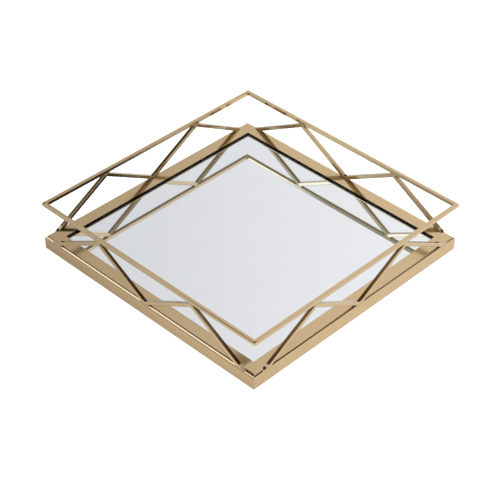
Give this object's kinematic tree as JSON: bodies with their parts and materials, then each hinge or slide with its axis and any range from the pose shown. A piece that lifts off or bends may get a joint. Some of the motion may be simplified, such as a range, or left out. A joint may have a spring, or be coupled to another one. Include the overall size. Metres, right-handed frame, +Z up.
{
  "type": "vanity tray",
  "caption": "Square mirrored vanity tray: a mirror floor in a bent metal rim, with a low open gallery of square bars in a zigzag around it.",
  "frame": {"origin": "centre of the tray's footprint, on the table it stands on", "axes": "+Z up; front of the tray towards -Y, right side towards +X"},
  "size_m": [0.3, 0.3, 0.059],
  "materials": {
    "gold_rim": "satin",
    "gold_bar": "polished",
    "mirror_glass": "gloss",
    "mirror_silvering": "polished",
    "card": "matte",
    "back_board": "matte",
    "felt": "matte",
    "screw_steel": "satin",
    "foot_rubber": "matte"
  },
  "bodies": {
    "root": {"base_rail_front": "gold_rim", "base_rail_right": "gold_rim", "base_rail_back": "gold_rim", "base_rail_left": "gold_rim", "top_rail_front": "gold_bar", "top_rail_right": "gold_bar", "top_rail_back": "gold_bar", "top_rail_left": "gold_bar", "strut_front_1": "gold_bar", "strut_front_2": "gold_bar", "strut_front_3": "gold_bar", "strut_front_4": "gold_bar", "strut_right_1": "gold_bar", "strut_right_2": "gold_bar", "strut_right_3": "gold_bar", "strut_right_4": "gold_bar", "strut_back_1": "gold_bar", "strut_back_2": "gold_bar", "strut_back_3": "gold_bar", "strut_back_4": "gold_bar", "strut_left_1": "gold_bar", "strut_left_2": "gold_bar", "strut_left_3": "gold_bar", "strut_left_4": "gold_bar", "retaining_tab_front_1": "gold_rim", "retaining_tab_front_2": "gold_rim", "retaining_tab_right_1": "gold_rim", "retaining_tab_right_2": "gold_rim", "retaining_tab_back_1": "gold_rim", "retaining_tab_back_2": "gold_rim", "retaining_tab_left_1": "gold_rim", "retaining_tab_left_2": "gold_rim", "rubber_foot_front_right": "foot_rubber", "rubber_foot_back_right": "foot_rubber", "rubber_foot_back_left": "foot_rubber", "rubber_foot_front_left": "foot_rubber", "mirror_glass": "mirror_glass", "mirror_silvering": "mirror_silvering", "card_sheet": "card", "back_board": "back_board", "felt_cover": "felt", "tab_screws": "screw_steel", "foot_screws": "screw_steel"}
  },
  "joints": []
}
